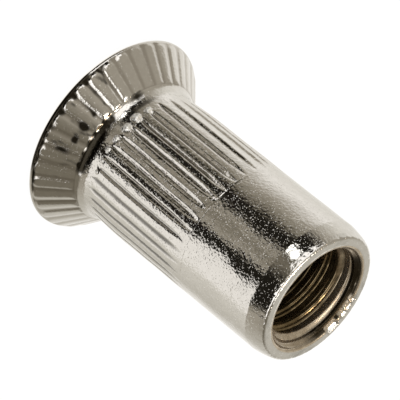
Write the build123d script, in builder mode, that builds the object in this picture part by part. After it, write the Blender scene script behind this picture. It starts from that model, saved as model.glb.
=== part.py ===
from build123d import *
from math import cos, radians, sin, sqrt, tan
import os

# A countersunk rivet nut with an open end, cold-formed in one piece. The flat face of its
# head lies on z = 0 and its body stands along +Z. The screw comes in through the head and
# is gripped by the thread at the open end. Lengths are in millimetres, angles in degrees.

# Thread at the open end, left as its plain core hole
thread_diameter = 5.0
thread_pitch = 0.8
thread_length = 6.0
mouth_diameter = 5.5
mouth_angle = 90.0

# Body, with the thin wall between head and thread that folds when the nut is set
overall_length = 14.1
body_diameter = 7.0
fold_wall = 0.7
step_angle = 118.0
tip_diameter = 6.56
tip_taper_length = 1.0
tip_round = 0.25

# Countersunk head
head_diameter = 10.1
countersink_angle = 86.0
rim_height = 0.4
face_diameter = 9.2
rim_land = 0.05
entry_chamfer = 0.2

# Smooth neck between the head's cone and the knurl
neck_diameter = 6.76
neck_length = 0.43
neck_fillet = 0.6
neck_rise = 0.01

# Straight knurl on the body: ribs between grooves that run out to points
rib_count = 36
groove_start_angle = 8.75
knurl_diameter = 7.03
knurl_length = 6.24
rib_start_bevel = 0.1
end_step_length = 0.04
groove_width = 0.42
groove_depth = 0.12
groove_land = 0.1
runout_length = 0.9
flank_lead_angle = 12.0

# Serrations under the head: raised pads on the cone, which bite into the sheet
pad_count = 36
pad_start_angle = 2.6
pad_angle = 7.3
pad_height = 0.09
pad_rim_gap = 0.12
pad_neck_gap = 0.38
pad_foot = 0.06
pad_outer_round = 0.16
pad_inner_bevel = 0.08

# Radii and heights that follow from the sizes above
thread_triangle = sqrt(3) / 2 * thread_pitch
core_radius = thread_diameter / 2 - 5 / 8 * thread_triangle
mouth_radius = mouth_diameter / 2
mouth_depth = (mouth_radius - core_radius) / tan(radians(mouth_angle / 2))
body_radius = body_diameter / 2
fold_radius = body_radius - fold_wall
step_height = (fold_radius - core_radius) / tan(radians(step_angle / 2))
thread_start = overall_length - thread_length
tip_radius = tip_diameter / 2
taper_start = overall_length - tip_taper_length
head_radius = head_diameter / 2
face_radius = face_diameter / 2
neck_radius = neck_diameter / 2
cone_slope = radians(countersink_angle / 2)
cone_top = rim_height + (head_radius - neck_radius) / tan(cone_slope)
pad_length = (head_radius - neck_radius) / sin(cone_slope) - pad_rim_gap - pad_neck_gap
knurl_start = cone_top + neck_length
knurl_end = knurl_start + knurl_length
knurl_radius = knurl_diameter / 2
groove_floor = knurl_radius - groove_depth


def on_cone(along, above):
    """Point of the half section at a distance along the cone from its rim, and above it."""
    radius = head_radius - along * sin(cone_slope) + above * cos(cone_slope)
    height = rim_height + along * cos(cone_slope) + above * sin(cone_slope)
    return radius, height


# One serration pad, flat on top: its wide end, by the rim, has rounded corners
pad_radius, pad_bottom = on_cone(pad_rim_gap, -pad_foot)
pad_plane = Plane(
    origin=(pad_radius, 0, pad_bottom),
    x_dir=(-sin(cone_slope), 0, cos(cone_slope)),
    z_dir=(cos(cone_slope), 0, sin(cone_slope)),
)
outer_half = on_cone(pad_rim_gap, 0)[0] * tan(radians(pad_angle / 2))
inner_half = on_cone(pad_rim_gap + pad_length, 0)[0] * tan(radians(pad_angle / 2))
with BuildPart() as pad:
    with BuildSketch(pad_plane) as foot:
        with BuildLine():
            Polyline(
                (0, -outer_half),
                (0, outer_half),
                (pad_length, inner_half),
                (pad_length, -inner_half),
                close=True,
            )
        make_face()
        fillet(foot.vertices().group_by(Axis.X)[0], pad_outer_round)
        chamfer(foot.vertices().group_by(Axis.X)[-1], pad_inner_bevel)
    extrude(amount=pad_foot + pad_height)


def groove_section(height, lift):
    """Cross-section of one groove at a height, its curved flanks meeting at the floor."""
    half = groove_width / 2
    shoulder = sqrt(knurl_radius**2 - half**2) + lift
    floor = groove_floor + lift
    outside = knurl_radius + groove_depth + lift
    lead = (-sin(radians(flank_lead_angle)), cos(radians(flank_lead_angle)))
    with BuildSketch(Plane.XY.offset(height)) as section:
        with BuildLine():
            TangentArc((shoulder, -half), (floor, 0), tangent=lead)
            TangentArc((shoulder, half), (floor, 0), tangent=(lead[0], -lead[1]))
            Polyline((shoulder, -half), (outside, -half), (outside, half), (shoulder, half))
        make_face()
    return section.sketch


# One knurl groove: straight from the neck, then rising out of the body to a point
groove_stop = knurl_end - groove_land
with BuildPart() as groove:
    loft(
        [
            groove_section(knurl_start - rib_start_bevel, 0),
            groove_section(groove_stop - runout_length, 0),
            groove_section(groove_stop, groove_depth),
        ],
        ruled=True,
    )

with BuildPart() as rivet_nut:
    # Half section of the turned form, from the head's face round to the bore
    with BuildSketch(Plane.XZ) as half_section:
        with BuildLine():
            Polyline(
                (fold_radius + entry_chamfer, 0),
                (face_radius, 0),
                (head_radius, rim_height - rim_land),
                (head_radius, rim_height),
                (neck_radius, cone_top),
                (neck_radius + neck_rise, knurl_start - rib_start_bevel),
                (knurl_radius, knurl_start),
                (knurl_radius, knurl_end - end_step_length),
                (body_radius, knurl_end),
                (body_radius, taper_start),
                (tip_radius, overall_length),
                (mouth_radius, overall_length),
                (core_radius, overall_length - mouth_depth),
                (core_radius, thread_start),
                (fold_radius, thread_start - step_height),
                (fold_radius, entry_chamfer),
                close=True,
            )
        make_face()
        rounds = (
            ((neck_radius, cone_top), neck_fillet),
            ((tip_radius, overall_length), tip_round),
        )
        for corner, radius in rounds:
            fillet(half_section.vertices().sort_by_distance(corner)[0], radius)
    revolve(axis=Axis.Z)

    with PolarLocations(0, pad_count, start_angle=pad_start_angle):
        add(pad.part)
    with PolarLocations(0, rib_count, start_angle=groove_start_angle):
        add(groove.part, mode=Mode.SUBTRACT)

rivet_nut.part.label = "rivet_nut"
os.makedirs("parts", exist_ok=True)
export_step(rivet_nut.part, "parts/rivet_nut.step")
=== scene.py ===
"""A countersunk rivet nut, nickel-plated, standing on the flat face of its head.

Lengths in the shape functions are millimetres and angles degrees; the mesh is stored in metres.
"""

import math

import bpy
import numpy as np
from mathutils import Matrix, Vector


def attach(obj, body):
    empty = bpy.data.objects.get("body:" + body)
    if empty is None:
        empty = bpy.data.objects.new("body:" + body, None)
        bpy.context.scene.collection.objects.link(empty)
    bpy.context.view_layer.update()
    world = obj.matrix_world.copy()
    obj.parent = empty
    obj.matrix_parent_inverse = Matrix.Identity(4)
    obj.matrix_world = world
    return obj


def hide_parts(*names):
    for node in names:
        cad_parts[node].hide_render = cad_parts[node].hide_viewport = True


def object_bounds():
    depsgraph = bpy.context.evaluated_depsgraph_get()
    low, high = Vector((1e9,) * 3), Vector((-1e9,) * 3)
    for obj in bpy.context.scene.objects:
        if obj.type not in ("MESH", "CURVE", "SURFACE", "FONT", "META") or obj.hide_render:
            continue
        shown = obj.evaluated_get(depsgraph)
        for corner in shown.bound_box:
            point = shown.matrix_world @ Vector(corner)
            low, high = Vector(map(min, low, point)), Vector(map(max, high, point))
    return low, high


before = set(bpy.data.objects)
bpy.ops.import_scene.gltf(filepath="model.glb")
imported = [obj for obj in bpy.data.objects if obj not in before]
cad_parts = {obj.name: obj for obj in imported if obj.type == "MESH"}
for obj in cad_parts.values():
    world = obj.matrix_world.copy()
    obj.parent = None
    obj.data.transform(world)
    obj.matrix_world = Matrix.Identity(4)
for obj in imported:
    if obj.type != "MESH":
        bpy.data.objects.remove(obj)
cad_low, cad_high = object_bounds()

MM = 0.001

# ---------------------------------------------------------------- sizes of the nut

overall_length = cad_high.z / MM
head_radius = cad_high.x / MM

face_radius = 4.6
rim_height = 0.4
rim_edge_round = 0.12
cone_slope = 43.0
neck_radius = 3.44
neck_fillet = 0.8
knurl_start = 2.63
knurl_radius = 3.509
knurl_end = 8.86
body_radius = 3.5
taper_start = 13.1
tip_radius = 3.28
tip_round = 0.17

pad_count = 36
pad_pitch = 360 / pad_count
pad_centre = 2.6
pad_angle = 7.3
pad_height = 0.11
pad_rim_gap = 0.07
pad_reach = 2.0
pad_corner = 0.28
pad_flank = 0.15
pad_easy_flank = 0.2

groove_count = 36
rib_pitch = 360 / groove_count
groove_centre = 8.75
groove_width = 0.3
groove_depth = 0.12
runout_length = 1.1
runout_end = 8.84
nose_length = 1.6
bead_size = 0.19

thread_pitch = 0.8
thread_core = 2.25
thread_root = 2.5
root_width = 0.31
root_at_zero = 13.04
mouth_radius = 2.75
# Each broken spot of the lip: its first and last angle, its outer radius and its depth.
chips = [
    (71.5, 84.5, 3.14, 0.19),
    (90.5, 98, 3.03, 0.15),
    (99.5, 107, 2.99, 0.13),
    (109, 113.5, 3.02, 0.14),
]
fold_radius = 2.8
thread_start = 8.1
step_angle = 59.0
# Radius and height of each corner of the mouth's wall, from the thread up to the lip.
mouth_section = [
    (2.25, 13.44),
    (2.5, 13.64),
    (2.52, 13.82),
    (2.66, 13.92),
    (2.7, 14.03),
    (2.75, 14.085),
]
entry_chamfer = 0.2

columns_per_rib = 16
bore_step = 3


# ---------------------------------------------------------------- shape helpers


def smooth(value, low, high):
    """0 below low, 1 above high, and an S-curve between them."""
    t = np.clip((value - low) / (high - low), 0.0, 1.0)
    return t * t * (3.0 - 2.0 * t)


def arc(centre_r, centre_z, radius, start, end, count):
    """Points on a circular arc of the half section: centre plus radius at evenly spaced angles."""
    a = np.radians(np.linspace(start, end, count))
    return np.stack([centre_r + radius * np.cos(a), centre_z + radius * np.sin(a)], 1)


def line(r0, z0, r1, z1, shares):
    """Points on a straight run of the half section, at the given shares of its length."""
    s = np.asarray(shares, float)[:, None]
    return (1 - s) * np.array([[r0, z0]]) + s * np.array([[r1, z1]])


def around(angle, pitch, centre):
    """Signed angle from the nearest feature of a ring of them, and that feature's number."""
    number = np.round((angle - centre) / pitch)
    return angle - centre - number * pitch, number


def uneven(number, seed, low, high):
    """A fixed value between low and high for each numbered feature: the fraction of a large sine."""
    wave = np.sin((number % groove_count + 1.0) * 12.9898 + seed * 78.233) * 43758.5453
    return low + (high - low) * (wave - np.floor(wave))


def window(angle, opens, opened, closes, closed):
    """1 between two angles, 0 beyond them, with an S-curve at each side."""
    return smooth(angle, opens, opened) * (1 - smooth(angle, closes, closed))


def hump(value, centre, width):
    """A bell curve: one at the centre, falling away over the width."""
    return np.exp(-(((value - centre) / width) ** 2))


def waviness(angle, height, seed, turns=14, climb=3.4):
    """Slow unevenness of a drawn wall, about -1 to 1: a sum of sines round and along it."""
    a = np.radians(angle)
    rng = np.random.default_rng(seed)
    total = np.zeros(np.broadcast(angle, height).shape)
    for _ in range(14):
        around_it = int(rng.integers(-turns, turns + 1))
        along = rng.uniform(-climb, climb)
        total = total + np.sin(around_it * a + along * height + rng.uniform(0, 2 * math.pi))
    return total / 5.0


def knurl_drift(angle):
    """How far the knurl is turned from its even pitch, in degrees: one bell curve."""
    return -3.8 * hump(angle, 202, 22)


def column_angles():
    """Angles of the columns: sixteen to each rib, closer together over the grooves."""
    fine = np.linspace(-2.6, 2.6, columns_per_rib - 4)
    offsets = np.concatenate([fine, [3.5, 4.5, 5.5, 6.5]])
    start = groove_centre - 0.3 + rib_pitch * np.arange(groove_count)[:, None]
    angle = (start + offsets).reshape(-1)
    return angle + knurl_drift(angle)


# ---------------------------------------------------------------- outer surface


def outer_section():
    """Half section of the outside, from the head's face up to the rim of the mouth.

    Straight runs joined by arcs. Returns the points and, for each, its distance along the
    head's cone, which is negative off the cone.
    """
    lean = math.radians(cone_slope)
    rows, along = [], []

    def put(points, distance=None):
        rows.append(points)
        along.append(np.full(len(points), -1.0) if distance is None else distance)

    put(line(3.6, 0, face_radius - 0.12, 0, [0, 1]))
    t = np.linspace(0, 1, 7)
    bulge = 0.5 * (t + np.sin(t * math.pi / 2))
    lift = 0.5 * (t + 1 - np.cos(t * math.pi / 2))
    top = rim_height - 0.08
    put(np.stack([face_radius + (head_radius - face_radius) * bulge, top * lift], 1))

    centre_r = head_radius - rim_edge_round
    put(arc(centre_r, rim_height - 0.047, rim_edge_round, -10, cone_slope - 4, 6))
    cone_length = (head_radius - neck_radius) / math.sin(lean)
    fillet_run = neck_fillet * math.tan(lean / 2)
    near_rim = [0.055, 0.085, 0.115, 0.145, 0.175, 0.21, 0.25, 0.3, 0.36]
    middle = [0.45, 0.6, 0.8, 1.0, 1.15, 1.3, 1.45, 1.6, 1.75]
    near_neck = [1.88, 1.95, 2.0, 2.05, 2.1, 2.15]
    u = np.array(near_rim + middle + near_neck)
    u = u[u < cone_length - fillet_run]
    put(
        np.stack([head_radius - u * math.sin(lean), rim_height + u * math.cos(lean)], 1),
        u,
    )
    cone_top = rim_height + cone_length * math.cos(lean)
    put(
        arc(neck_radius + neck_fillet, cone_top + fillet_run, neck_fillet, 180 + cone_slope, 180, 9)
    )
    put(line(neck_radius, cone_top + fillet_run, neck_radius, knurl_start - 0.04, [0.5, 1]))
    above_start = [-0.02, 0, 0.02, 0.045, 0.075, 0.11, 0.15, 0.19, 0.23, 0.27, 0.32, 0.38, 0.5]
    nose = knurl_start + np.array(above_start)
    put(np.stack([np.full(len(nose), knurl_radius), nose], 1))
    straight = runout_end - runout_length
    put(line(knurl_radius, 3.3, knurl_radius, straight, np.linspace(0, 1, 10)))
    shares = [0.14, 0.28, 0.42, 0.55, 0.66, 0.76, 0.85, 0.93, 1]
    put(line(knurl_radius, straight, knurl_radius, knurl_end - 0.03, shares))
    put(line(knurl_radius, knurl_end - 0.015, body_radius, knurl_end + 0.02, [0, 0.35, 0.65, 1]))
    plain = np.linspace(0, 1, 15)
    put(line(body_radius, knurl_end + 0.06, body_radius, taper_start - 0.03, plain))
    tilt = math.degrees(math.atan2(body_radius - tip_radius, overall_length - taper_start))
    share = np.array([0.012, 0.05, 0.16, 0.28, 0.4, 0.52, 0.64, 0.75])
    fall = share * (0.6 + 0.4 * share)
    drop = (body_radius - tip_radius) * fall
    rise = (overall_length - taper_start) * share
    put(np.stack([body_radius - drop, taper_start + rise], 1))
    centre_z = overall_length - tip_round
    half = math.radians((90 - tilt) / 2)
    centre_r = tip_radius - tip_round * math.tan(half)
    put(arc(centre_r, centre_z, tip_round, tilt, 90, 9))
    put(line(centre_r, overall_length, 2.9, overall_length, [0.3, 0.65, 1]))
    return np.concatenate(rows), np.concatenate(along)


def pad_shape(angle, u):
    """Height of the serrations over the cone, 0 to 1.

    Each pad is a trapezoid whose sides point at the axis, with its corners by the rim rounded
    by a circle, under a low crown. It rises inside its edge by an S-curve. Round the angle of
    254 degrees the pads are crisper: the rise is straighter and they stand higher.
    """
    off, number = around(angle, pad_pitch, pad_centre)
    radius = head_radius - u * math.sin(math.radians(cone_slope))
    half = radius * math.tan(math.radians(pad_angle / 2)) + uneven(number, 1, -0.02, 0.015)
    crisp = hump(angle, 254, 19)
    half = half + (0.004 + 0.018 * crisp) * waviness(angle * 5, u * 4, 31)
    across = radius * np.radians(off)
    side = half - np.abs(across)
    outer = u - pad_rim_gap - uneven(number, 2, -0.03, 0.04)
    inner = pad_reach + uneven(number, 3, -0.06, 0.03) - u
    near = pad_corner
    corner = near - np.hypot(np.maximum(near - side, 0), np.maximum(near - outer, 0))
    inside = np.where((side < near) & (outer < near), corner, np.minimum(side, outer))
    inside = np.minimum(inside, inner)
    easy = (across < 0) & (side < outer) & (side < inner)
    flank = np.where(easy, pad_easy_flank, pad_flank) + 0.12 * (1 - crisp)
    flank = np.where((outer < side) & (outer < inner), flank - 0.14 * smooth(angle, 258, 272), flank)
    ramped = np.clip(inside / flank + 0.45, 0, 1)
    rounded = smooth(inside, -flank * 0.45, flank * 0.55)
    height = (rounded + (ramped - rounded) * 0.7 * crisp) * (0.4 + 0.6 * crisp)
    crown = 1 - 0.16 * (np.radians(off) * radius / half) ** 2
    return height * crown * uneven(number, 4, 0.88, 1.0)


def groove_shape(angle, height):
    """Depth of the knurl's grooves, 0 to 1: a V with a rounded foot, which dies out at both ends.

    The grooves lean a little, wander a little, and are shallower on two stretches of the round.
    """
    drift = knurl_drift(angle) + 0.4 * (height - 6) + 0.22 * waviness(angle, height * 0.35, 5)
    drift = drift + 0.1 * waviness(angle, height * 4, 6)
    off, number = around(angle - drift, rib_pitch, groove_centre)
    end = runout_end + uneven(number, 7, -0.1, 0.03)
    fade = np.clip((end - height) / (runout_length * uneven(number, 9, 0.7, 1.2)), 0, 1) ** 0.7
    soon = smooth(angle, 290, 304)
    first = knurl_start + (1 - soon) * uneven(number, 11, 0.12, 0.22)
    entry = np.clip((height - first) / (0.6 - 0.3 * soon), 0, 1) ** 0.6
    fade = np.minimum(fade, entry)
    quiet = window(angle, 290, 304, 350, 362)
    wide = groove_width / 2 * uneven(number, 6, 0.82, 1.15) * (0.45 + 0.55 * fade)
    wide = wide * (1 + 0.1 * quiet)
    across = np.abs(knurl_radius * np.radians(off)) / np.maximum(wide, 0.01)
    depth = 1 - (np.sqrt(across**2 + 0.03) - 0.173) / (math.sqrt(1.03) - 0.173)
    seldom = 1 - 0.72 * quiet - 0.3 * (1 - smooth(angle, 208, 230))
    return np.clip(depth, 0, 1) * fade * seldom * uneven(number, 10, 0.85, 1.0)


def chipped(angle, radius):
    """How far the rim of the mouth is broken down: plateaus round it, sloping in to the bore."""
    total = 0
    for start, end, reach, depth in chips:
        share = np.clip((reach - radius) / (reach - mouth_radius + 0.06), 0, 1)
        over = smooth(angle, start - 1, start + 0.8) * (1 - smooth(angle, end - 0.8, end + 1))
        total = total + depth * share * over
    return total


def outer_surface():
    """The outside as a grid of rings: the half section turned about the axis.

    The cone is raised along its normal by the pads. The body loses the grooves, and beads of
    plating, which are parts of balls, sit where the ribs rise from the neck. The wall has a
    dent and a swelling, and the lip is nicked and broken. The second value that is returned
    holds what the materials read from the mesh: painted shade and painted dark reflections
    with some mottling, darker places in the grooves, and the beads, which the material paints
    near white as a highlight.
    """
    section, along = outer_section()
    angle = column_angles()[None, :]
    count = angle.shape[1]
    r = np.repeat(section[:, :1], count, 1)
    z = np.repeat(section[:, 1:], count, 1)
    recess = np.zeros_like(r)
    # Painted shade and painted dark reflections, with some mottling and darker patches; the materials
    # turn it near black.
    shade_and_stain = np.zeros_like(r)
    bead_and_highlight = np.zeros_like(r)
    grain = 0.45 + 0.55 * smooth(z, 1.9, 2.3)
    grain *= 1 - 0.6 * (1 - smooth(z, 1.9, 2.3)) * smooth(angle, 262, 280)
    grain *= 1 - 0.17 * smooth(z, taper_start, taper_start + 0.2) * (1 + 3.4 * hump(angle, 256, 9))

    lean = math.radians(cone_slope)
    cone = along >= 0
    u = along[cone][:, None]
    pads = pad_shape(angle, u)
    r[cone] += pad_height * pads * math.cos(lean)
    z[cone] += pad_height * pads * math.sin(lean)
    _, number = around(angle, pad_pitch, pad_centre + pad_pitch / 2)
    recess[cone] = 1 - np.minimum(pads * 1.2, 1)
    # Painted dark reflections: a black spot in the middle of each gap between the pads, strongest round
    # 281 degrees.
    painted_dark_spot = hump(u, uneven(number, 12, 1.1, 1.5), uneven(number, 13, 0.15, 0.4))
    painted_dark_spot = painted_dark_spot * (0.15 + 1.3 * hump(angle, 281, 17))
    shade_and_stain[cone] = (1 - np.minimum(pads * 1.6, 1)) * painted_dark_spot * uneven(number, 14, 0.75, 1.1)
    # Painted shade in the gaps between the pads round 257 degrees.
    gap = 0.6 * hump(angle, 257, 15) * hump(u, uneven(number, 17, 0.7, 1.2), 0.75)
    shade_and_stain[cone] = np.maximum(shade_and_stain[cone], (1 - np.minimum(pads * 1.4, 1)) * gap)
    # Painted shade and painted dark reflection in the gaps between the pads next to the rim.
    steep = 2 - 0.95 * smooth(angle, 256, 270)
    by_rim = (1 - smooth(u, 0.1, 0.24)) * (1 - np.minimum(pads * steep, 1))
    by_rim = by_rim * (window(angle, 236, 262, 305, 345) * 0.85 + 0.15)
    shade_and_stain[cone] = np.maximum(shade_and_stain[cone], by_rim)
    # Painted shade in wedges between the pads' outer ends, which makes their tips read as rounded.
    wedge = (1 - smooth(u, 0.2, 0.55)) * (1 - np.minimum(pads * 1.9, 1)) * hump(angle, 268, 24)
    shade_and_stain[cone] = np.maximum(shade_and_stain[cone], wedge)
    coarse = waviness(angle, z[cone], 21, turns=60, climb=9)
    mottled = 0.26 * np.clip(coarse + waviness(angle, z[cone], 22, turns=110, climb=14), 0, 2)
    shade_and_stain[cone] += mottled * smooth(angle, 225, 250) * (1 - smooth(angle, 300, 345))

    # Painted dark reflection on the side of the rim from 248 to 330 degrees, over its white reflection.
    side = (section[:, 1] > rim_height - 0.09) & (section[:, 1] < rim_height + 0.1) & ~cone
    shade_and_stain[side] += window(angle, 248, 258, 300, 330)

    knurl = (section[:, 1] > knurl_start - 0.03) & (section[:, 1] < knurl_end + 0.001)
    groove = groove_shape(angle, z[knurl])
    off, _ = around(angle - knurl_drift(angle), rib_pitch, groove_centre + rib_pitch / 2)
    edge = np.clip(np.abs(off) / 3.4, 0, 1.3)
    nose = smooth(z[knurl], knurl_start - 0.04, knurl_start + nose_length)
    crown = 0.006 * edge**2 * np.clip((knurl_end - z[knurl]) / 0.8, 0, 1)
    ring = window(angle, 222, 231, 262, 269)
    crown = crown + (knurl_radius - body_radius) * (1 - ring) * smooth(z[knurl], 7.6, knurl_end)
    rib = r[knurl] - crown - neck_radius
    off, number = around(angle + 0.12 * np.clip(270 - angle, 0, 40), rib_pitch, 1.1)
    size = 0.38 + 0.28 * (1 - smooth(angle, 262, 312)) + 0.5 * hump(angle, 252, 12)
    size = bead_size * size * uneven(number, 16, 1.0, 1.2)
    size = size * smooth(angle, 227, 236) * (1 - smooth(angle, 304, 310)) + 0.001
    lengthwise = (z[knurl] - knurl_start - 0.17 - 0.04 * uneven(number, 15, -1, 1)) / size
    crosswise = knurl_radius * np.radians(off) / size
    apart = lengthwise**2 + crosswise**2
    r[knurl] = neck_radius + rib * nose - groove_depth * groove
    r[knurl] += 0.85 * size * np.sqrt(np.clip(1 - apart, 0, 1))
    # Marks the beads; the material colours them near white, a painted highlight, and makes them
    # rougher.
    bead_and_highlight[knurl] = 1 - smooth(apart, 0.75, 1.15)
    grain[knurl] *= 1 - 0.8 * bead_and_highlight[knurl]
    recess[knurl] = groove
    quiet = window(angle, 290, 304, 350, 362)
    # Darker along the shallow grooves from 290 to 360 degrees.
    shade_and_stain[knurl] += 0.55 * quiet * np.clip(groove / 0.24, 0, 1) ** 0.6

    wall = (section[:, 1] > knurl_start + 0.4) & (section[:, 1] < overall_length - 0.3)
    fade = smooth(z[wall], knurl_start + 0.3, knurl_start + 1.2)
    fade = fade * (1 - smooth(z[wall], taper_start - 0.3, overall_length - 0.3))
    r[wall] += 0.009 * fade * (waviness(angle, z[wall], 11) - 0.6)
    dent = 0.9 * hump(angle, 294, 9) * hump(z[wall], 10.7, 0.55)
    dent -= 0.8 * hump(angle, 299, 9) * hump(z[wall], 11.9, 0.9)
    r[wall] -= 0.022 * fade * (dent + 0.3)
    lip = (section[:, 1] > overall_length - 0.27) & (section[:, 0] > 2.85)
    notch = np.maximum(waviness(angle * 5, z[lip] * 9, 21), 0)
    r[lip] -= 0.014 * notch * smooth(section[lip][:, :1], 2.98, 3.1)
    scratch = np.maximum(waviness(angle * 7, section[lip][:, :1] * 5, 22), 0)
    z[lip] -= 0.006 * scratch * hump(angle, 281, 26)
    z[lip] -= chipped(angle, r[lip])

    # The lip is darker in patches at four angles round it.
    lip_patches = 0.36 * hump(angle, 40, 22) + 0.34 * hump(angle, 120, 14)
    lip_patches = lip_patches + 0.27 * hump(angle, 213, 22) + 0.24 * hump(angle, 318, 24)
    shade_and_stain[lip] += lip_patches + 0.08 * waviness(angle * 2, r[lip] * 6, 41)

    # Painted shade and painted dark reflections on the neck's fillet and where the ribs rise from it.
    corner = (section[:, 1] > 1.8) & (section[:, 1] < knurl_start + 0.02)
    shade_and_stain[corner] += hump(angle, 287, 15) * hump(z[corner], 2.15, 0.16)
    neck = window(angle, 256, 262, 304, 318) + 0.8 * hump(angle, 236, 8)
    ragged = 0.09 * waviness(angle * 5, z[corner] * 3, 51)
    shade_and_stain[corner] += 0.9 * neck * hump(z[corner] + ragged, 1.99, 0.19)
    shade_and_stain[corner] += 0.55 * hump(angle, 250, 12) * hump(z[corner], 2.42, 0.1)
    shade_and_stain[corner] += 0.5 * hump(angle, 232, 12) * hump(z[corner], 2.4, 0.2)

    a = np.radians(angle)
    points = np.stack([r * np.cos(a), r * np.sin(a), np.minimum(z, overall_length)], 2)
    return points, {"recess": recess, "shade_and_stain": np.clip(shade_and_stain, 0, 1), "bead_and_highlight": bead_and_highlight, "grain": grain}


# ---------------------------------------------------------------- bore


def mouth_wall(height):
    """The plain wall over the thread: two chamfers and a sloping ledge, with steep walls between."""
    radii, heights = zip(*mouth_section)
    return np.interp(height, heights, radii)


def thread_radius(angle, height):
    """Wall of the threaded bore: the widest of the thread, the mouth's wall and the step.

    The thread is a trapezoid wave of the height less the pitch times the turns, so it is
    right-handed: flat crests at the core radius, flanks, and flat roots.
    """
    turns = (height - root_at_zero) / thread_pitch - angle / 360
    gap = np.abs(turns - np.round(turns)) * thread_pitch
    flank = (thread_root - thread_core) * math.tan(math.radians(30))
    fall = np.clip((gap - root_width / 2) / flank, 0, 1)
    thread = thread_root - (thread_root - thread_core) * fall
    step = thread_core + (thread_start - height) * math.tan(math.radians(step_angle))
    return np.maximum(np.maximum(thread, mouth_wall(height)), np.minimum(step, fold_radius))


def bore_surface(ring_angle):
    """The bore's points and faces, from the mouth down to the head's face.

    Between two plain rings the rows climb with the thread: each row is a helix, so the rows
    lie on the crests and roots. The wedge left over under the top ring, and over the bottom
    one, is filled by rows squeezed to a point.
    """
    n = len(ring_angle)
    half_turn = [0, 0.065, 0.13, 0.194, 0.254, 0.314, 0.374, 0.437]
    shares = np.array(half_turn + [0.5] + [1 - s for s in half_turn[:0:-1]])
    per = len(shares)
    top = root_at_zero + thread_pitch
    turns = 7
    bottom = top - thread_pitch * (turns + 1)

    share = (ring_angle[:, None] - ring_angle[0]) / 360
    offset = ring_angle[0] / 360 * thread_pitch
    first = top - thread_pitch + thread_pitch * share
    last = first - thread_pitch * turns
    upper = top - (top - first) * shares
    main = first - thread_pitch * (np.arange(turns)[:, None] + shares).reshape(1, -1)
    lower = last - (last - bottom) * shares
    z = np.concatenate([upper, main, lower, np.full((n, 1), bottom)], 1) + offset
    angle = np.repeat(ring_angle[:, None], z.shape[1], 1)
    r = thread_radius(angle, z)
    rows = z.shape[1]

    ids = np.arange(n * rows).reshape(n, rows)
    ids[0, (turns + 1) * per :] = ids[0, -1]
    right = np.roll(ids, -1, 0)
    right[-1, :per] = ids[0, 0]
    right[-1, per:] = ids[0, : rows - per]
    quads = [np.stack([ids[:, :-1], right[:, :-1], right[:, 1:], ids[:, 1:]], 2).reshape(-1, 4)]
    a = np.radians(angle)
    points = [np.stack([r * np.cos(a), r * np.sin(a), z], 2).reshape(-1, 3)]

    turn = np.radians(ring_angle)

    def ring(radius, height):
        flat = np.full(n, 1.0)
        return np.stack([radius * np.cos(turn), radius * np.sin(turn), height * flat], 1)

    edge = []
    for radius in (2.84, 2.785):
        edge.append((radius, overall_length - chipped(ring_angle, radius)))
    for depth in (0.015, 0.07, 0.1, 0.18, 0.21):
        sunk = np.maximum(depth, chipped(ring_angle, mouth_radius))
        edge.append((mouth_wall(overall_length - sunk), overall_length - sunk))
    foot = [(fold_radius, 7.3), (fold_radius, 5.5), (fold_radius, 3.5), (fold_radius, 1.5)]
    foot += [(fold_radius, entry_chamfer + 0.04), (fold_radius + 0.015, entry_chamfer - 0.02)]
    foot += [(fold_radius + 0.18, 0.02), (fold_radius + 0.23, 0), (3.2, 0)]
    count = n * rows

    def strip(upper_ring, lower_ring):
        sides = [upper_ring, np.roll(upper_ring, -1), np.roll(lower_ring, -1), lower_ring]
        quads.append(np.stack(sides, 1))

    above = None
    for radius, height in edge:
        points.append(ring(radius, height))
        here = count + np.arange(n)
        count += n
        if above is None:
            mouth_ring = here
        else:
            strip(above, here)
        above = here
    strip(above, ids[:, 0])
    above = ids[:, -1]
    for radius, height in foot:
        points.append(ring(radius, height))
        here = count + np.arange(n)
        count += n
        strip(above, here)
        above = here
    return np.concatenate(points), np.concatenate(quads), mouth_ring, above


# ---------------------------------------------------------------- the whole mesh


def joined_rings(fine, coarse, fine_first):
    """Flat faces between a fine ring and a coarse one: each spans several fine edges."""
    step = len(fine) // len(coarse)
    k = np.arange(len(coarse))
    run = [fine[(k * step + i) % len(fine)] for i in range(step + 1)]
    nearer, farther = coarse[k], np.roll(coarse, -1)
    if fine_first:
        return np.stack(run + [farther, nearer], 1)
    return np.stack([nearer, farther] + run[::-1], 1)


def without_pinches(quads):
    """Splits off the quads that have two corners in one place, as triangles."""
    same = quads == np.roll(quads, 1, 1)
    whole = quads[~same.any(1)]
    pinched = quads[same.sum(1) == 1]
    where = np.argmax(pinched == np.roll(pinched, 1, 1), 1)
    order = (where[:, None] + np.array([1, 2, 3])) % 4
    return whole, np.take_along_axis(pinched, order, 1)


def mouth_darkening(points):
    """How dark the plain wall of the mouth is, 0 to 1: a little all round, most on one side."""
    angle = np.degrees(np.arctan2(points[:, 1], points[:, 0]))
    wall = np.hypot(points[:, 0], points[:, 1])
    height = points[:, 2]
    beyond = smooth(wall, thread_root - 0.02, thread_root + 0.01)
    beyond = beyond * (1 - smooth(wall, mouth_radius - 0.045, mouth_radius - 0.005))
    broken = chipped(angle, mouth_radius) / 0.1
    worst = 0.15 + 0.85 * smooth(angle, 38, 62) * (1 - smooth(angle, 160, 180))
    ledge = np.minimum(broken, 1) * (height > overall_length - 0.2)
    return smooth(height, 13.4, 13.6) * beyond * worst * (1 - ledge)


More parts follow.
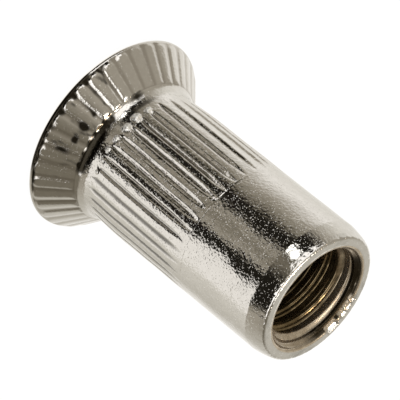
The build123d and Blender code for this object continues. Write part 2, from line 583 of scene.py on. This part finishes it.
def build_nut():
    """One closed mesh: the outside, the bore, and the two flat rings that join them."""
    outer, painted_on = outer_surface()
    rows, columns = outer.shape[:2]
    grid = np.arange(rows * columns).reshape(rows, columns)
    right = np.roll(grid, -1, 1)
    outside = np.stack([grid[:-1], right[:-1], right[1:], grid[1:]], 2).reshape(-1, 4)

    inner, bore, mouth_ring, foot_ring = bore_surface(column_angles()[::bore_step])
    shift = rows * columns
    bore, tips = without_pinches(bore + shift)
    rim = joined_rings(grid[-1], mouth_ring + shift, True)
    face = joined_rings(grid[0], foot_ring + shift, False)
    blocks = [outside, rim, face, bore, tips]

    points = np.concatenate([outer.reshape(-1, 3), inner]) * MM
    used = np.zeros(len(points), bool)
    used[np.concatenate([block.reshape(-1) for block in blocks])] = True
    new = np.cumsum(used) - 1
    faces = [corners for block in blocks for corners in new[block].tolist()]
    inside = np.repeat([0, 0, 0, 1, 1], [len(block) for block in blocks])

    mesh = bpy.data.meshes.new("rivet_nut_plated")
    mesh.from_pydata(points[used].tolist(), [], faces)
    mesh.polygons.foreach_set("use_smooth", np.ones(len(faces), bool))
    mesh.polygons.foreach_set("material_index", inside.astype(np.int32))
    for name, values in painted_on.items():
        layer = mesh.attributes.new(name, "FLOAT", "POINT")
        within = mouth_darkening(inner) if name == "shade_and_stain" else np.zeros(len(inner))
        whole = np.concatenate([values.reshape(-1), within])
        layer.data.foreach_set("value", whole[used].astype(np.float32))
    mesh.update()
    piece = bpy.data.objects.new("rivet_nut_plated", mesh)
    bpy.context.scene.collection.objects.link(piece)
    return piece


# ---------------------------------------------------------------- material helpers


def maths(tree, operation, first, second=None, clamp=False):
    """One arithmetic step; each input is a number or a socket."""
    made = tree.nodes.new("ShaderNodeMath")
    made.operation = operation
    made.use_clamp = clamp
    for slot, value in zip(made.inputs, (first, second)):
        if value is None:
            continue
        if isinstance(value, (int, float)):
            slot.default_value = value
        else:
            tree.links.new(value, slot)
    return made.outputs[0]


def spread(tree, value, low, high, to_low=0.0, to_high=1.0, soft=True):
    """Carries a value from one range to another, clamped."""
    made = tree.nodes.new("ShaderNodeMapRange")
    made.interpolation_type = "SMOOTHSTEP" if soft else "LINEAR"
    tree.links.new(value, made.inputs["Value"])
    made.inputs["From Min"].default_value = low
    made.inputs["From Max"].default_value = high
    made.inputs["To Min"].default_value = to_low
    made.inputs["To Max"].default_value = to_high
    return made.outputs["Result"]


def blend_colours(tree, share, first, second):
    """Mixes two colours, each a triple or a socket, by a share."""
    made = tree.nodes.new("ShaderNodeMix")
    made.data_type = "RGBA"
    for slot, value in ((made.inputs[0], share), (made.inputs[6], first), (made.inputs[7], second)):
        if isinstance(value, (int, float)):
            slot.default_value = value
        elif isinstance(value, tuple):
            slot.default_value = (*value, 1.0)
        else:
            tree.links.new(value, slot)
    return made.outputs[2]


def ramp(tree, share, stops):
    """A colour ramp from (position, colour) pairs."""
    made = tree.nodes.new("ShaderNodeValToRGB")
    elements = made.color_ramp.elements
    while len(elements) < len(stops):
        elements.new(0.5)
    for element, (place, colour) in zip(elements, stops):
        element.position = place
        element.color = (*colour, 1.0)
    tree.links.new(share, made.inputs[0])
    return made.outputs[0]


def noise(tree, place, scale, detail=1.0, roughness=0.5):
    """A soft random pattern of the given scale; the scale is a number or a socket."""
    made = tree.nodes.new("ShaderNodeTexNoise")
    made.inputs["Detail"].default_value = detail
    made.inputs["Roughness"].default_value = roughness
    tree.links.new(place, made.inputs["Vector"])
    if isinstance(scale, (int, float)):
        made.inputs["Scale"].default_value = scale
    else:
        tree.links.new(scale, made.inputs["Scale"])
    return made.outputs[0]


# ---------------------------------------------------------------- shared finish groups


def plating_grain_group():
    """Orange-peel grain of a thick plating. Puts out a height and a speckle.

    The height adds fine lumps, slow swelling and sparse nodules.
    """
    group = bpy.data.node_groups.new("plating_grain", "ShaderNodeTree")
    face = group.interface
    for name, value in (("Grain Scale", 9000.0), ("Fine", 1.0), ("Slow", 1.0), ("Nodules", 1.0)):
        made = face.new_socket(name, in_out="INPUT", socket_type="NodeSocketFloat")
        made.default_value = value
    face.new_socket("Height", in_out="OUTPUT", socket_type="NodeSocketFloat")
    face.new_socket("Speckle", in_out="OUTPUT", socket_type="NodeSocketFloat")
    source = group.nodes.new("NodeGroupInput")
    sink = group.nodes.new("NodeGroupOutput")
    place = group.nodes.new("ShaderNodeTexCoord").outputs["Object"]
    scale = source.outputs["Grain Scale"]

    fine = noise(group, place, scale, detail=1.0, roughness=0.5)
    slow = noise(group, place, maths(group, "MULTIPLY", scale, 0.22))
    sparse = noise(group, place, maths(group, "MULTIPLY", scale, 1.9), detail=0.0)
    lumps = maths(group, "MULTIPLY", fine, source.outputs["Fine"])
    swell = maths(group, "MULTIPLY", slow, source.outputs["Slow"])
    spots = spread(group, sparse, 0.67, 0.82)
    nodules = maths(group, "MULTIPLY", spots, source.outputs["Nodules"])
    height = maths(group, "ADD", maths(group, "ADD", lumps, swell), nodules)
    group.links.new(height, sink.inputs["Height"])
    pits = noise(group, place, maths(group, "MULTIPLY", scale, 0.5), detail=2.0)
    group.links.new(spread(group, pits, 0.35, 0.7), sink.inputs["Speckle"])
    return group


def use_group(tree, group, **values):
    """Places a shared group in a material with its own values."""
    made = tree.nodes.new("ShaderNodeGroup")
    made.node_tree = group
    for name, value in values.items():
        made.inputs[name.replace("_", " ").title()].default_value = value
    return made


def bumped(tree, height, distance):
    """A normal from a height in units of the given distance."""
    made = tree.nodes.new("ShaderNodeBump")
    made.inputs["Strength"].default_value = 1.0
    made.inputs["Distance"].default_value = distance
    tree.links.new(height, made.inputs["Height"])
    return made.outputs[0]


def painted(tree, name):
    """One of the mesh's own values."""
    made = tree.nodes.new("ShaderNodeAttribute")
    made.attribute_name = name
    return made.outputs["Fac"]


def nickel_plating(grain):
    """Bright nickel on the outside: warm pale metal, grained, darker in the grooves, near black where
    painted shade and painted dark reflections lie, with some mottling and dark patches, and beads made
    near white as a painted highlight.
    """
    material = bpy.data.materials.new("nickel_plating")
    material.use_nodes = True
    tree = material.node_tree
    shader = tree.nodes["Principled BSDF"]
    shader.inputs["Metallic"].default_value = 1.0

    fine = use_group(tree, grain, grain_scale=8200.0, fine=1.15, slow=1.1, nodules=0.45)
    bright = blend_colours(tree, fine.outputs["Speckle"], (0.74, 0.715, 0.68), (0.78, 0.755, 0.72))
    # Darker in the grooves and between the pads, by their depth.
    groove_darkening = spread(tree, painted(tree, "recess"), 0.6, 1.0)
    base = blend_colours(tree, maths(tree, "MULTIPLY", groove_darkening, 0.4), bright, (0.30, 0.26, 0.21))
    # Near black where the mesh holds painted shade, painted dark reflections, mottling and darker
    # patches.
    shade_and_stain = spread(tree, painted(tree, "shade_and_stain"), 0.15, 0.75)
    base = blend_colours(tree, shade_and_stain, base, (0.035, 0.03, 0.022))
    # The beads are coloured near white, a painted highlight, and made rougher.
    matt = painted(tree, "bead_and_highlight")
    base = blend_colours(tree, matt, base, (1.0, 0.99, 0.96))
    tree.links.new(base, shader.inputs["Base Color"])
    rough = spread(tree, fine.outputs["Speckle"], 0.0, 1.0, 0.055, 0.035, soft=False)
    rough = maths(tree, "ADD", rough, maths(tree, "MULTIPLY", shade_and_stain, 0.15))
    rough = maths(tree, "ADD", rough, maths(tree, "MULTIPLY", matt, 0.36))
    tree.links.new(rough, shader.inputs["Roughness"])
    lumps = maths(tree, "MULTIPLY", fine.outputs["Height"], painted(tree, "grain"))
    tree.links.new(bumped(tree, lumps, 0.000012), shader.inputs["Normal"])
    return material


def bore_plating(grain):
    """The bore's wall: pale at the mouth, brown-gold below it and dark further down, which is painted
    shade growing with depth over its own brownish colour, with dark patches by the mouth.
    """
    material = bpy.data.materials.new("bore_plating")
    material.use_nodes = True
    tree = material.node_tree
    shader = tree.nodes["Principled BSDF"]
    shader.inputs["Metallic"].default_value = 0.86
    fine = use_group(tree, grain, grain_scale=6000.0, fine=0.25, slow=0.9, nodules=0.1)
    height = tree.nodes.new("ShaderNodeSeparateXYZ")
    tree.links.new(tree.nodes.new("ShaderNodeTexCoord").outputs["Object"], height.inputs[0])
    # Pale at the mouth, brown-gold below and nearly black deepest down: painted shade that grows with
    # depth, over the bore's own brownish colour.
    deep = spread(tree, height.outputs[2], 0.0135, 0.0129)
    gold = blend_colours(tree, fine.outputs["Speckle"], (0.17, 0.125, 0.065), (0.30, 0.23, 0.13))
    pale = blend_colours(tree, fine.outputs["Speckle"], (0.50, 0.43, 0.34), (0.68, 0.60, 0.49))
    base = blend_colours(tree, deep, pale, gold)
    deepest = spread(tree, height.outputs[2], 0.0123, 0.0112, 0.0, 0.75)
    base = blend_colours(tree, deepest, base, (0.05, 0.036, 0.018))
    place = tree.nodes.new("ShaderNodeTexCoord").outputs["Object"]
    drawn = tree.nodes.new("ShaderNodeVectorMath")
    drawn.operation = "MULTIPLY"
    tree.links.new(place, drawn.inputs[0])
    drawn.inputs[1].default_value = (1.0, 1.0, 3.0)
    # Dark patches on the mouth's wall, most on one side.
    patches = spread(tree, noise(tree, drawn.outputs[0], 2200.0, detail=3.0, roughness=0.6), 0.12, 0.42)
    dark_patches = maths(tree, "MULTIPLY", painted(tree, "shade_and_stain"), patches, clamp=True)
    base = blend_colours(tree, dark_patches, base, (0.03, 0.023, 0.013))
    tree.links.new(base, shader.inputs["Base Color"])
    rough = spread(tree, fine.outputs["Speckle"], 0.0, 1.0, 0.28, 0.2, soft=False)
    rough = maths(tree, "MULTIPLY", rough, spread(tree, deep, 0.0, 1.0, 1.0, 0.5))
    tree.links.new(rough, shader.inputs["Roughness"])
    lumps = maths(tree, "MULTIPLY", fine.outputs["Height"], spread(tree, deep, 0.0, 1.0, 1.0, 0.3))
    tree.links.new(bumped(tree, lumps, 0.000012), shader.inputs["Normal"])
    return material


# ---------------------------------------------------------------- the nut

shared_grain = plating_grain_group()
nut = build_nut()
nut.data.materials.append(nickel_plating(shared_grain))
nut.data.materials.append(bore_plating(shared_grain))
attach(nut, "root")
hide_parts("rivet_nut")


# ---------------------------------------------------------------- floor, light and camera


def pale_floor():
    """A white table. Seen directly it is white, and it keeps a faint shadow of the nut."""
    mesh = bpy.data.meshes.new("floor")
    reach = 0.8
    mesh.from_pydata(
        [(-reach, -reach, 0), (reach, -reach, 0), (reach, reach, 0), (-reach, reach, 0)],
        [],
        [(0, 1, 2, 3)],
    )
    floor = bpy.data.objects.new("floor", mesh)
    bpy.context.scene.collection.objects.link(floor)
    material = bpy.data.materials.new("white_table")
    material.use_nodes = True
    tree = material.node_tree
    tree.nodes.remove(tree.nodes["Principled BSDF"])
    matt = tree.nodes.new("ShaderNodeBsdfDiffuse")
    matt.inputs["Color"].default_value = (0.85, 0.85, 0.85, 1)
    glow = tree.nodes.new("ShaderNodeEmission")
    glow.inputs["Strength"].default_value = 1.05
    rays = tree.nodes.new("ShaderNodeLightPath")
    seen = maths(tree, "ADD", rays.outputs["Is Camera Ray"], rays.outputs["Is Glossy Ray"])
    seen = maths(tree, "ADD", seen, rays.outputs["Is Transmission Ray"], clamp=True)
    mix = tree.nodes.new("ShaderNodeMixShader")
    tree.links.new(maths(tree, "MULTIPLY", seen, 0.92), mix.inputs[0])
    tree.links.new(matt.outputs[0], mix.inputs[1])
    tree.links.new(glow.outputs[0], mix.inputs[2])
    tree.links.new(mix.outputs[0], tree.nodes["Material Output"].inputs["Surface"])
    mesh.materials.append(material)
    floor.visible_glossy = False
    floor.visible_shadow = False
    return floor


def light_tent():
    """The studio round the nut, by direction: pale cloth, with dark gaps towards the front.

    Three belts of the tent, below the table's level, at it and above it, are each a ramp
    round the compass, and they are joined by elevation. Four white cards and three lamps
    stand in it, and it is white straight below and overhead.

    The belts are not a designed rig. Their tones and places are measured values, rounded, and
    so are the places of the cards and lamps: report.md says from what, in its weak point 0.
    """
    world = bpy.context.scene.world or bpy.data.worlds.new("tent")
    bpy.context.scene.world = world
    world.use_nodes = True
    tree = world.node_tree
    tree.nodes.clear()
    direction = tree.nodes.new("ShaderNodeTexCoord").outputs["Generated"]
    parts = tree.nodes.new("ShaderNodeSeparateXYZ")
    tree.links.new(direction, parts.inputs[0])
    x, y, z = parts.outputs
    turn = maths(tree, "DIVIDE", maths(tree, "ARCTAN2", y, x), 2 * math.pi)
    turn = maths(tree, "FRACT", maths(tree, "ADD", turn, 1.0))
    compass = maths(tree, "MULTIPLY", turn, 360.0)
    rise = maths(tree, "MULTIPLY", maths(tree, "ARCSINE", z), 180 / math.pi)

    def belt(stops):
        return ramp(tree, turn, [(degrees / 360, colour) for degrees, colour in stops])

    def card(left, right, bottom, top, soft=4.0):
        inside = maths(
            tree,
            "MULTIPLY",
            spread(tree, compass, left - soft, left + soft),
            spread(tree, compass, right + soft, right - soft),
        )
        inside = maths(tree, "MULTIPLY", inside, spread(tree, rise, bottom - soft, bottom + soft))
        return maths(tree, "MULTIPLY", inside, spread(tree, rise, top + soft, top - soft))

    white, pale, shade = (1.0, 0.98, 0.94), (0.8, 0.78, 0.72), (0.6, 0.58, 0.52)
    grey, dim, black = (0.4, 0.37, 0.31), (0.2, 0.18, 0.14), (0.015, 0.013, 0.01)
    low = belt(
        [(0, pale), (40, shade), (80, white), (120, pale), (160, white), (190, grey), (215, dim)]
        + [(225, black), (245, black), (255, grey), (265, dim), (285, grey), (292, black)]
        + [(310, black), (315, white), (340, white)]
    )
    level = belt(
        [(0, grey), (45, shade), (90, white), (160, pale), (190, grey), (210, black)]
        + [(230, black), (260, dim), (285, black), (330, black), (345, grey)]
    )
    high = belt([(30, dim), (90, shade), (130, grey), (240, grey), (320, dim)])
    nadir = blend_colours(tree, spread(tree, rise, -50.0, -40.0), (1.25, 1.23, 1.20), low)
    colour = blend_colours(tree, spread(tree, rise, -24.0, -17.0), nadir, level)
    colour = blend_colours(tree, spread(tree, rise, 7.0, 19.0), colour, high)
    colour = blend_colours(tree, card(198, 254, 5, 20), colour, (1.35, 1.33, 1.30))
    colour = blend_colours(tree, card(219, 262, 8, 38), colour, (1.35, 1.33, 1.30))
    colour = blend_colours(tree, card(281, 322, 17, 42), colour, (1.6, 1.58, 1.55))
    colour = blend_colours(tree, card(307, 350, 14, 35, soft=3), colour, (1.6, 1.58, 1.55))
    colour = blend_colours(tree, spread(tree, rise, 63.0, 70.0), colour, (1.5, 1.47, 1.40))

    def lamp(towards, radius, colour_below, glow):
        towards_it = tree.nodes.new("ShaderNodeVectorMath")
        towards_it.operation = "DOT_PRODUCT"
        tree.links.new(direction, towards_it.inputs[0])
        towards_it.inputs[1].default_value = Vector(towards).normalized()
        edge, core = math.cos(math.radians(radius)), math.cos(math.radians(radius * 0.1))
        spot = spread(tree, towards_it.outputs["Value"], edge, core)
        spot = maths(tree, "MULTIPLY", spot, spot)
        return blend_colours(tree, spot, colour_below, glow)

    colour = lamp((-0.482, -0.870, -0.095), 10.5, colour, (2.8, 2.8, 2.7))
    colour = lamp((-0.146, 0.004, 0.99), 8.5, colour, (36.0, 28.0, 20.0))
    colour = lamp((0.126, 0.0, 0.99), 7.5, colour, (36.0, 28.0, 20.0))

    shine = tree.nodes.new("ShaderNodeBackground")
    tree.links.new(colour, shine.inputs["Color"])
    plain = tree.nodes.new("ShaderNodeBackground")
    plain.inputs["Color"].default_value = (1, 1, 1, 1)
    rays = tree.nodes.new("ShaderNodeLightPath")
    mix = tree.nodes.new("ShaderNodeMixShader")
    tree.links.new(rays.outputs["Is Camera Ray"], mix.inputs[0])
    tree.links.new(shine.outputs[0], mix.inputs[1])
    tree.links.new(plain.outputs[0], mix.inputs[2])
    out = tree.nodes.new("ShaderNodeOutputWorld")
    tree.links.new(mix.outputs[0], out.inputs["Surface"])


def set_camera():
    """A long lens, looking down at 30.5 degrees and rolled so that the nut lies across."""
    data = bpy.data.cameras.new("camera")
    data.sensor_width = 36.0
    data.lens = 298.74
    data.clip_start = 0.01
    data.clip_end = 10.0
    camera = bpy.data.objects.new("camera", data)
    bpy.context.scene.collection.objects.link(camera)
    down, roll = math.radians(30.49), math.radians(128.855)
    forward = Vector((0, math.cos(down), -math.sin(down)))
    level_right, level_up = Vector((1, 0, 0)), Vector((0, math.sin(down), math.cos(down)))
    right = math.cos(roll) * level_right + math.sin(roll) * level_up
    up = -math.sin(roll) * level_right + math.cos(roll) * level_up
    turn = Matrix((right, up, -forward)).transposed().to_4x4()
    camera.matrix_world = Matrix.Translation(Vector((-0.152, -129.93, 82.69)) * MM) @ turn
    bpy.context.scene.camera = camera


pale_floor()
light_tent()
set_camera()
bpy.context.scene.view_settings.view_transform = "Standard"
